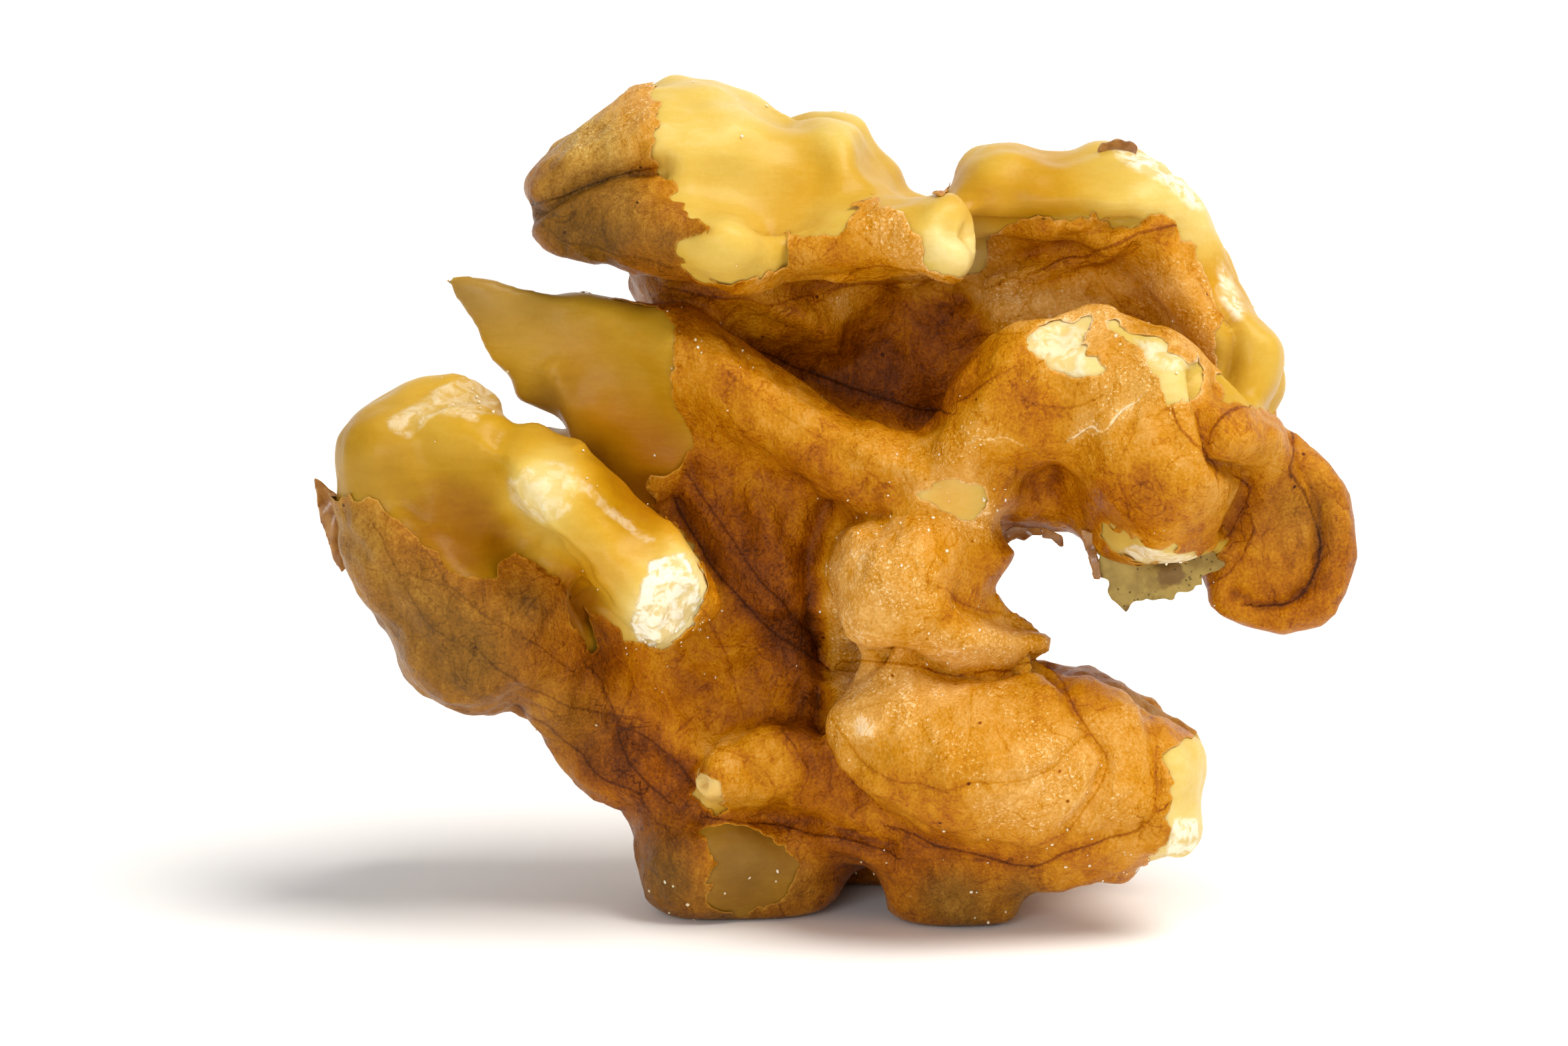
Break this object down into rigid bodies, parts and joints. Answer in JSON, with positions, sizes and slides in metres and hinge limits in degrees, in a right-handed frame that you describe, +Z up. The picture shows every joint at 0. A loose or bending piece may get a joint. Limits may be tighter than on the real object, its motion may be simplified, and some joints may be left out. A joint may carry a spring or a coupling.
{
  "type": "walnut kernel half",
  "caption": "Shelled walnut kernel half standing on edge, with deep open folds, a pointed root tip, brain-like ridges behind and partly peeled skin.",
  "frame": {"origin": "on the floor under the middle of the kernel's bounding box", "axes": "+Z up, -Y the way the inner side with its open folds faces, -X the way the root tip points"},
  "size_m": [0.0338, 0.0162, 0.0279],
  "materials": {
    "kernel": "satin"
  },
  "bodies": {
    "root": {"kernel": "kernel"}
  },
  "joints": []
}
